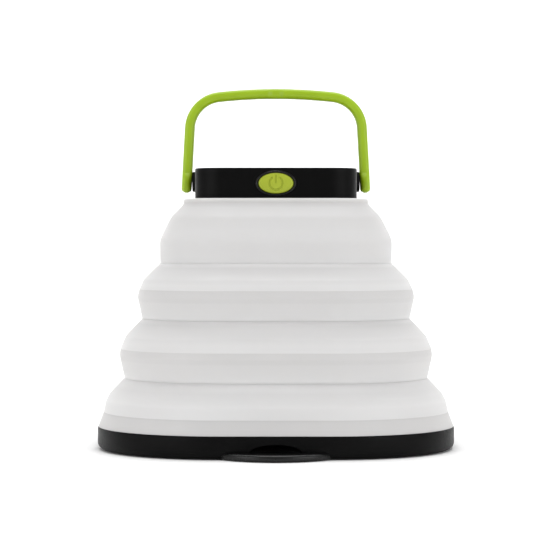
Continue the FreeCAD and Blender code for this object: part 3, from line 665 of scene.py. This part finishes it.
def scoop_tool():
    """The upper half of a flat ellipsoid, which hollows the rim's wall over the tab."""
    reach, depth, rise = 8 * MM, 3 * MM, 2.5 * MM
    steps = 14
    rings = []
    for step in range(steps):
        lift = QUARTER * step / steps
        x, y, z = reach * math.cos(lift), depth * math.cos(lift), TAB_TOP + rise * math.sin(lift)
        rings.append([Vector((x * math.cos(a), y * math.sin(a) - RIM_HALF, z)) for a in full_turn(96)])
    return loft("scoop", rings)


def make_pull_tab():
    """A crescent that stands out from the foot of the rim, with rounded edges."""
    radius, stand_out, root_depth = 20.8 * MM, 7.5 * MM, 4.5 * MM
    centre = radius - stand_out - RIM_HALF
    root = root_depth - RIM_HALF
    foot = UNDERSIDE + 0.05 * MM
    widest = math.radians(61)
    steps = 60
    rings = []
    for step in range(steps + 1):
        angle = widest * (2 * step / steps - 1)
        inner = (centre - root) / math.cos(angle)
        line = [(inner, foot), (radius, foot), (radius, TAB_TOP), (inner, TAB_TOP)]
        section = rounded(line, [0.55 * MM, 0.85 * MM])
        rings.append([Vector((p.x * math.sin(angle), centre - p.x * math.cos(angle), p.y)) for p in section])
    stand_in(loft("pull_tab", rings), POLISHED_BLACK, "base", "black_shell")


def foot_places():
    """The place and radius of each rubber foot: one near each corner, and a wider one in the middle."""
    radius, middle_radius = 5 * MM, 9 * MM
    out = high("foot_pads").x - radius
    corners = [(x, y, radius) for x, y in ((out, out), (-out, out), (-out, -out), (out, -out))]
    return corners + [(0.0, 0.0, middle_radius)]


def screw_places():
    """Eight screws: one in the middle of each side and one in each corner."""
    half = high("base_screws").x - SCREW_HEAD
    corner = CORNER + (half - CORNER) * math.sqrt(0.5)
    spots = []
    for quarter in range(4):
        turn = Matrix.Rotation(quarter * QUARTER, 2)
        spots += [turn @ Vector((half, 0.0)), turn @ Vector((corner, corner))]
    return spots


def ringed(radius):
    """The height of a foot's face, with rings moulded in it and a plain border."""
    ridge, depth = 1.1 * MM, 0.12 * MM

    def height(x, y):
        far = math.hypot(x, y)
        if far >= radius - ridge:
            return 0.0
        return depth * (math.cos(2 * math.pi * far / ridge) - 1) / 2

    return height


def make_feet():
    """Rubber pads with raised rings, facing down."""
    pads = []
    for x, y, radius in foot_places():
        pad = relief_disc("foot", radius, radius, 1.15 * MM, 0.3 * MM, ringed(radius), rings=46, around=72)
        pads.append(faced(pad, (0, 0, -1), (0, 1, 0), (x, y, 0.0)))
    stand_in(joined("rubber_feet", pads), RUBBER, "base", "black_rubber", "foot_pads")


def cross_recess(reach, width, depth):
    """The height of a screw's face with a cross-shaped driver recess."""

    def height(x, y):
        beside, along = sorted((abs(x), abs(y)))
        within_width = clamped((width - beside) / (0.1 * MM))
        within_reach = clamped((reach - along) / (0.3 * MM))
        return -depth * within_width * within_reach

    return height


def make_screw_heads():
    """Round heads, sunk a little into the underside, with their driver recesses facing down."""
    recess = cross_recess(0.95 * MM, 0.22 * MM, 0.5 * MM)
    heads = []
    for x, y in screw_places():
        head = relief_disc("screw", SCREW_HEAD, SCREW_HEAD, 0.9 * MM, 0.35 * MM, recess, rings=26, around=56)
        heads.append(faced(head, (0, 0, -1), (0, 1, 0), (x, y, UNDERSIDE + 0.2 * MM)))
    stand_in(joined("base_screw_heads", heads), STEEL, "base", "screw_steel", "base_screws")


# ------------------------------------------------------------------ head

HEAD_HALF = high("top_housing").x


def make_head_shell():
    """The black shell with its button well, the seat of the charging flap, and the panel's recess."""
    half, bottom, top = HEAD_HALF, low("top_housing").z, high("top_housing").z
    wall, inside = 1.6 * MM, 6.4 * MM
    window, recess = high("panel_glazing").x + 0.2 * MM, 3.2 * MM
    line = [(half - wall, bottom), (half, bottom), (half, top), (window + 0.5 * MM, top)]
    outer = rounded(line, [0.25 * MM, 0.5 * MM])
    corner = half - CORNER
    rings = [square_ring(half - wall, level, inside) for level in (top - 2 * MM, bottom)]
    rings += [square_ring(p.x, p.y, corner - (half - p.x)) for p in divided(outer, 2 * MM)[1:-1]]
    rings += [
        square_ring(window + 0.35 * MM, top, recess + 0.3 * MM),
        square_ring(window, top - 0.2 * MM, recess),
        square_ring(window, top - 1 * MM, recess),
    ]
    shell = loft("head_shell", rings)
    past = 1 * MM
    well = oval(11.5 * MM, 7.0 * MM, BUTTON_LEVEL)
    combined(shell, prism("well", well, -half - past, -half + 2.7 * MM), "DIFFERENCE")
    seat = soft_rectangle(14.0 * MM, 6.2 * MM, PORT_LEVEL, 0.8 * MM, 0.25 * MM)
    mouth = soft_rectangle(9.2 * MM, 3.6 * MM, PORT_LEVEL, 1.2 * MM)
    light = oval(2.0 * MM, 2.0 * MM, PORT_LEVEL, middle("charge_light_pipe").x, 32)
    for outline, depth in ((seat, 0.8 * MM), (mouth, 2 * MM), (light, 2 * MM)):
        combined(shell, prism("opening", outline, half - depth, half + past), "DIFFERENCE")
    stand_in(finished(shell), BLACK, "head", "black_shell", "top_housing")


def make_button_lip():
    """A thin raised oval round the button, rounded in section, with its back half sunk in the wall."""
    reach_x, reach_y = 6.08 * MM, 3.62 * MM
    half_width, stand_out = 0.36 * MM, 0.42 * MM
    rings = []
    for angle in full_turn(96):
        spine = Vector((reach_x * math.cos(angle), reach_y * math.sin(angle)))
        out = Vector((math.cos(angle) / reach_x, math.sin(angle) / reach_y)).normalized()
        ring = []
        for swing in full_turn(12):
            spot = spine + out * (half_width * math.cos(swing))
            ring.append(Vector((spot.x, -HEAD_HALF - stand_out * math.sin(swing), BUTTON_LEVEL + spot.y)))
        rings.append(ring)
    stand_in(loft("button_lip", rings, closed=True), POLISHED_BLACK, "head", "black_shell")


def power_symbol(x, y):
    """How deeply the symbol is engraved, from 0 to 1: an open ring, and a bar down into its gap."""
    half_line, soft = 0.17 * MM, 0.12 * MM
    ring, opening = 2.05 * MM, math.radians(32)
    bar_level, half_bar = 1.35 * MM, 1.17 * MM
    off_ring = abs(math.hypot(x, y) - ring) if abs(math.atan2(x, y)) > opening else math.inf
    off_bar = max(abs(x), abs(y - bar_level) - half_bar + half_line)
    return clamped((half_line + soft - min(off_ring, off_bar)) / soft)


def make_button():
    """The oval button, gently crowned, with an engraved power symbol."""
    reach_x, reach_y = 5.5 * MM, 3.25 * MM
    crown, engraving = 0.35 * MM, 0.28 * MM

    def height(x, y):
        fall = 0.5 * ((x / reach_x) ** 2 + (y / reach_y) ** 2)
        return crown * (1 - fall) - engraving * power_symbol(x, y)

    cap = relief_disc("button_cap", reach_x, reach_y, 1.5 * MM, 0.4 * MM, height, rings=90, around=240)
    faced(cap, (0, -1, 0), (0, 0, 1), (0, low("power_button").y + 0.15 * MM, BUTTON_LEVEL))
    stand_in(cap, BUTTON_LIME, "power_button", "lime_plastic", "power_button")


def make_panel():
    """Ten strips of cells on a dark backing, two pale busbars across them, and the clear layer on top."""
    half, floor = high("solar_panel").x - 0.15 * MM, low("solar_panel").z
    backing = loft("panel_backing", bevelled_plate(half, floor, floor + 0.25 * MM, 2.8 * MM, 0.05 * MM))
    stand_in(backing, BLACK, "head", "black_shell")
    border, gap, columns = 1.6 * MM, 0.25 * MM, 5
    reach = half - border
    width = 2 * reach / columns
    strips = []
    for rows in ((-reach, -0.4 * MM), (0.4 * MM, reach)):
        for index in range(columns):
            left = -reach + index * width
            outline = clipped_rectangle(left + gap, left + width - gap, *rows, 0.5 * MM)
            strips.append(plate("strip", outline, floor + 0.2 * MM, floor + 0.36 * MM))
    stand_in(joined("solar_cells", strips), CELLS, "head", "solar_cell", "solar_panel")
    bars = []
    for y in (-0.52 * half, 0.52 * half):
        outline = pointed_bar(half - 1.8 * MM, y, 0.35 * MM)
        bars.append(plate("bar", outline, floor + 0.32 * MM, floor + 0.41 * MM))
    stand_in(joined("busbars", bars), STEEL, "head", "screw_steel")
    under, over = low("panel_glazing"), high("panel_glazing")
    window = loft("panel_window", bevelled_plate(over.x, under.z, over.z, 3.0 * MM, 0.12 * MM))
    stand_in(window, GLAZING, "head", "clear_layer", "panel_glazing")


def bevelled_plate(half, bottom, top, corner, bevel):
    """Rings of a plate with rounded corners and a small bevel round its top."""
    return [
        square_ring(half, bottom, corner),
        square_ring(half, top - bevel, corner),
        square_ring(half - bevel, top, corner - bevel),
    ]


def clipped_rectangle(x0, x1, y0, y1, clip):
    """A rectangle in X and Y with its corners cut off, as an outline."""
    lower = [(x0 + clip, y0), (x1 - clip, y0), (x1, y0 + clip)]
    upper = [(x1, y1 - clip), (x1 - clip, y1), (x0 + clip, y1)]
    return lower + upper + [(x0, y1 - clip), (x0, y0 + clip)]


def pointed_bar(reach, y, half_width):
    """A strip along X with pointed ends, as an outline in X and Y."""
    left, right, tip = -reach, reach, reach + half_width
    lower = [(left, y - half_width), (right, y - half_width), (tip, y)]
    return lower + [(right, y + half_width), (left, y + half_width), (-tip, y)]


def make_port_flap():
    """The rubber flap over the charging port, with rounded edges and a small pull lip at its free side."""
    back = high("port_cover").y
    seat = back - 1.0 * MM
    centre = Vector((-0.1 * MM, PORT_LEVEL))
    outline = soft_rectangle(12.8 * MM, 5.6 * MM, centre.y, 0.8 * MM, centre.x)

    def layer(inset, y):
        """The flap's outline at one depth, drawn in by an inset."""
        ring = []
        for point in outline:
            off = Vector(point) - centre
            off -= Vector((math.copysign(inset, off.x), math.copysign(inset, off.y)))
            ring.append(Vector((centre.x + off.x, y, centre.y + off.y)))
        return ring

    rings = [layer(0.1 * MM, seat), layer(0.0, seat + 0.1 * MM), layer(0.0, back - 0.25 * MM)]
    rings += [layer(0.08 * MM, back - 0.08 * MM), layer(0.28 * MM, back)]
    rings += [layer(1.0 * MM, back), layer(1.15 * MM, back - 0.12 * MM)]
    flap = loft("port_flap", rings)
    plug = soft_rectangle(7.4 * MM, 2.4 * MM, PORT_LEVEL, 0.9 * MM)
    combined(flap, prism("plug", plug, seat - 0.7 * MM, seat + 0.3 * MM), "UNION")
    grip = oval(1.6 * MM, 3.4 * MM, PORT_LEVEL, -4.6 * MM, 40)
    combined(flap, prism("grip", grip, back - 0.4 * MM, back + 0.35 * MM), "UNION")
    half_bead = 2.75 * MM
    bead = rod("bead", 6.3 * MM, 25.4 * MM, 0.45 * MM, PORT_LEVEL - half_bead, PORT_LEVEL + half_bead, 24)
    combined(flap, bead, "UNION")
    stand_in(finished(flap), RUBBER, "port_cover", "black_rubber", "port_cover")


def make_pivots():
    """The round collars that the handle turns on, with rounded rims."""
    radius = high("pivot_right").z - PIVOT_LEVEL
    face = 27.15 * MM
    for label, side in (("right", 1), ("left", -1)):
        name = f"pivot_collar_{label}"
        collar = relief_disc(name, radius, radius, 1.5 * MM, 0.4 * MM, level_face, rings=24, around=72)
        faced(collar, (side, 0, 0), (0, 0, 1), (side * face, 0, PIVOT_LEVEL))
        stand_in(collar, BLACK, "head", "black_shell", f"pivot_{label}")


def level_face(x, y):
    """The height of a flat face."""
    return 0.0


# ------------------------------------------------------------------ handle


BAR_DEPTH = 2.3 * MM
BAR_THICK = 1.65 * MM
EYE = high("handle").y


def bail_line():
    """The middle line of the handle in X and Z, from the right foot over to the left one, evenly stepped."""
    pivot = Vector((high("handle").x - BAR_THICK, PIVOT_LEVEL))
    knee = Vector((27.97 * MM, 102.6 * MM))
    bend = 10.6 * MM
    top = high("handle").z - BAR_THICK
    leg = (knee - pivot).normalized()
    bend_centre = knee - bend * Vector((leg.y, -leg.x))
    over = top - bend_centre.y
    crown = (bend_centre.x**2 + over**2 - bend**2) / (2 * (over - bend))
    crown_centre = top - crown
    lean = math.atan2(-leg.x, leg.y)
    join = math.atan2(bend_centre.y - crown_centre, bend_centre.x)
    line = [pivot - leg * 3.55 * MM]
    bend_steps, crown_steps = 16, 24
    for step in range(bend_steps + 1):
        angle = lean + (join - lean) * step / bend_steps
        line.append(bend_centre + bend * Vector((math.cos(angle), math.sin(angle))))
    for step in range(1, crown_steps + 1):
        angle = join + (QUARTER - join) * step / crown_steps
        line.append(Vector((crown * math.cos(angle), crown_centre + crown * math.sin(angle))))
    line += [Vector((-p.x, p.y)) for p in reversed(line[:-1])]
    return divided(line, 0.55 * MM)


def bar_size(spot):
    """Half the bar's thickness and half its depth at one point, which differ at the eyes and the dent."""
    level = spot.y - PIVOT_LEVEL
    if level >= EYE:
        dent = 0.30 * math.exp(-((spot.x / (2.0 * MM)) ** 4))
        return BAR_THICK, BAR_DEPTH * (1.0 - dent)
    least = BAR_DEPTH if level > 0 else 0.35 * MM
    nearness = min(1.0, (level + EYE) / (1.2 * MM))
    half_thick = BAR_THICK * math.sqrt(max(0.02, 1 - (1 - nearness) ** 2))
    return half_thick, max(least, math.sqrt(max(0.0, EYE**2 - level**2)))


def make_handle():
    """A bar of soft rectangular section along the bail's line, which widens to a round eye at each pivot."""
    line = bail_line()
    squareness = 2.0 / 2.9
    rings = []
    for before, spot, after in zip([line[0]] + line, line, line[1:] + [line[-1]]):
        along = (after - before).normalized()
        out = Vector((along.y, -along.x))
        half_thick, half_depth = bar_size(spot)
        ring = []
        for angle in full_turn(36):
            cos, sin = math.cos(angle), math.sin(angle)
            place = spot + out * (math.copysign(abs(cos) ** squareness, cos) * half_thick)
            depth = math.copysign(abs(sin) ** squareness, sin) * half_depth
            ring.append(Vector((place.x, depth, place.y)))
        rings.append(ring)
    stand_in(loft("bail", rings), LIME, "handle", "lime_plastic", "handle")


# ------------------------------------------------------------------ stage, light and camera


def area_light(name, place, target, size, power):
    """A soft rectangular light that faces its target."""
    data = bpy.data.lights.new(name, "AREA")
    data.shape = "RECTANGLE"
    data.size, data.size_y = size
    data.energy = power
    light = bpy.data.objects.new(name, data)
    light.location = place
    aim = Vector(target) - Vector(place)
    light.rotation_euler = aim.to_track_quat("-Z", "Y").to_euler()
    bpy.context.scene.collection.objects.link(light)


def make_stage():
    """A pale floor that curves up into a backdrop."""
    near, far, rise, bend = -2.0, 1.2, 2.0, 0.5
    line = divided(rounded([(near, 0.0), (far, 0.0), (far, rise)], [bend], steps=16), 0.5)
    across = (-3.0, -1.0, 1.0, 3.0)
    count = len(across)
    faces = []
    for a in range(0, (len(line) - 1) * count, count):
        faces += [(a + i, a + i + 1, a + count + i + 1, a + count + i) for i in range(count - 1)]
    floor = new_object("floor", [Vector((x, p.x, p.y)) for p in line for x in across], faces)
    floor.data.shade_smooth()
    paint = Shader("pale_floor")
    clouds = paint.noise(3.0, 2.0)
    paint.link(paint.mix(clouds, (0.90, 0.90, 0.90), (0.93, 0.93, 0.93)), paint.surface.inputs["Base Color"])
    paint.set(Roughness=0.8)
    dress(floor, paint.material)


def make_lights():
    """A pale sky, two softboxes at the front, a strip overhead, and a light aimed at the backdrop."""
    world = bpy.data.worlds.new("studio")
    world.use_nodes = True
    sky = world.node_tree.nodes["Background"].inputs
    sky["Color"].default_value = (1.0, 1.0, 1.0, 1.0)
    sky["Strength"].default_value = 0.45
    bpy.context.scene.world = world
    lantern = (0, 0, 0.05)
    area_light("front_left", (-1.15, -0.95, 0.45), lantern, (1.1, 0.9), 6.4)
    area_light("front_right", (1.15, -0.95, 0.45), lantern, (1.1, 0.9), 6.8)
    area_light("overhead", (0, -0.15, 1.3), lantern, (0.9, 0.3), 5.7)
    area_light("backdrop", (0, 0.4, 1.2), (0, 1.3, 0.3), (2.0, 0.5), 16.0)


def make_camera():
    """A long lens in front of the lantern, a little above its middle."""
    data = bpy.data.cameras.new("camera")
    data.sensor_width = 36.0
    data.lens = 143.1
    camera = bpy.data.objects.new("camera", data)
    aside, distance, eye, aim_level = -0.3 * MM, 712 * MM, 68 * MM, 54.7 * MM
    camera.location = (aside, -distance, eye)
    aim = Vector((aside, 0, aim_level)) - camera.location
    camera.rotation_euler = aim.to_track_quat("-Z", "Y").to_euler()
    bpy.context.scene.collection.objects.link(camera)
    bpy.context.scene.camera = camera


# ------------------------------------------------------------------ everything


def dress_cad_nodes():
    """The CAD pieces that keep their own shape get finished materials."""
    finishes = {
        "clamp_ring": BLACK,
        "reflector_plate": WHITE_SHEET,
        "lower_cover": BLACK,
        "head_screws": STEEL,
        "circuit_board": SOLDER_MASK,
        "battery_cell": FOIL,
        "battery_pad": FOAM,
        "tact_switch": BLACK,
        "usb_socket": STEEL,
        "light_board": WHITE_MASK,
        "light_chips": PHOSPHOR,
        "light_diffuser": LENS,
        "light_leads": WIRE,
        "charge_light_pipe": ACRYLIC,
    }
    for node, material in finishes.items():
        dress(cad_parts[node], material)


make_camera()
make_top_tier()
make_middle_tier(2)
make_middle_tier(3)
make_bottom_tier()
make_base()
make_pull_tab()
make_feet()
make_screw_heads()
make_head_shell()
make_button_lip()
make_button()
make_panel()
make_port_flap()
make_pivots()
make_handle()
dress_cad_nodes()
make_stage()
make_lights()
bpy.context.scene.view_settings.view_transform = "Standard"
